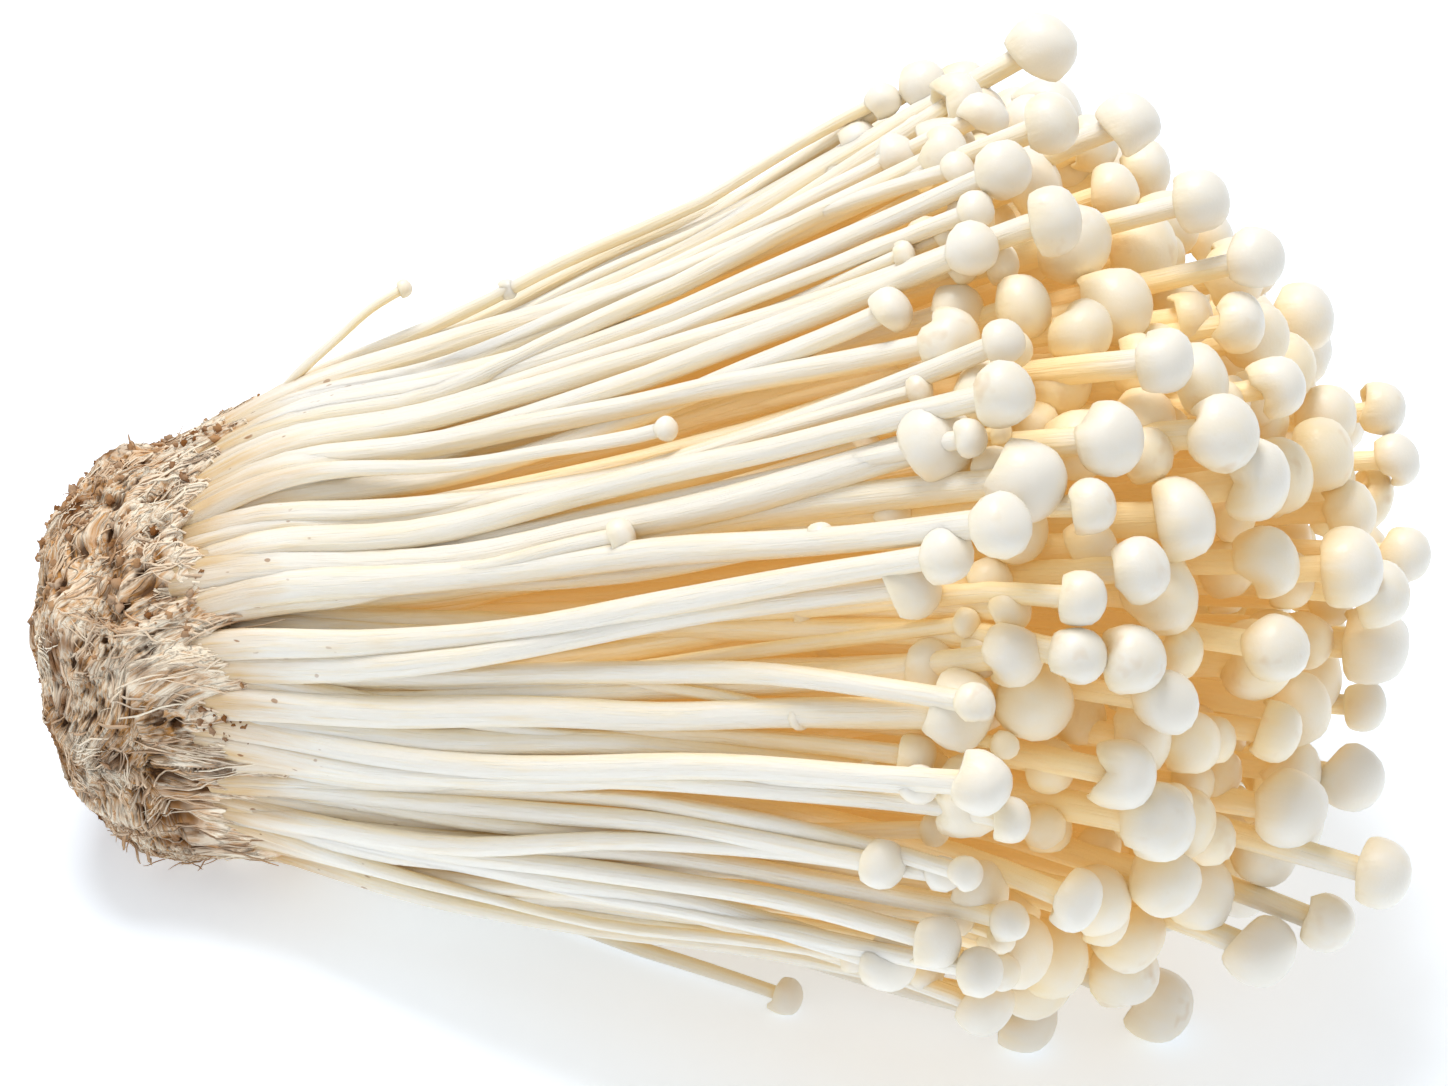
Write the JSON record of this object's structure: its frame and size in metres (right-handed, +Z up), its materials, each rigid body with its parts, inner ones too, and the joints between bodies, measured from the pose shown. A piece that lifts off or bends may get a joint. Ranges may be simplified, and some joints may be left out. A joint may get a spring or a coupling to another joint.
{
  "type": "enoki mushroom bunch",
  "caption": "Bunch of enoki mushrooms lying on its side: slim stems with small round caps fan out of a rough mycelium root block.",
  "frame": {"origin": "middle of the small flat spot under the root block, on the surface that the bunch lies on", "axes": "+X along the bunch from the root block to the caps, +Z up, +Y to its left seen from the root block"},
  "size_m": [0.1454, 0.114, 0.0964],
  "materials": {
    "mushroom_flesh": "satin, slightly translucent cream-white flesh, the stems finely streaked along their length",
    "mycelium": "rough and matt, pale fibres over brown substrate with dark pits"
  },
  "bodies": {
    "root": {"root_block": "mycelium", "mushrooms": "mushroom_flesh"}
  },
  "joints": []
}
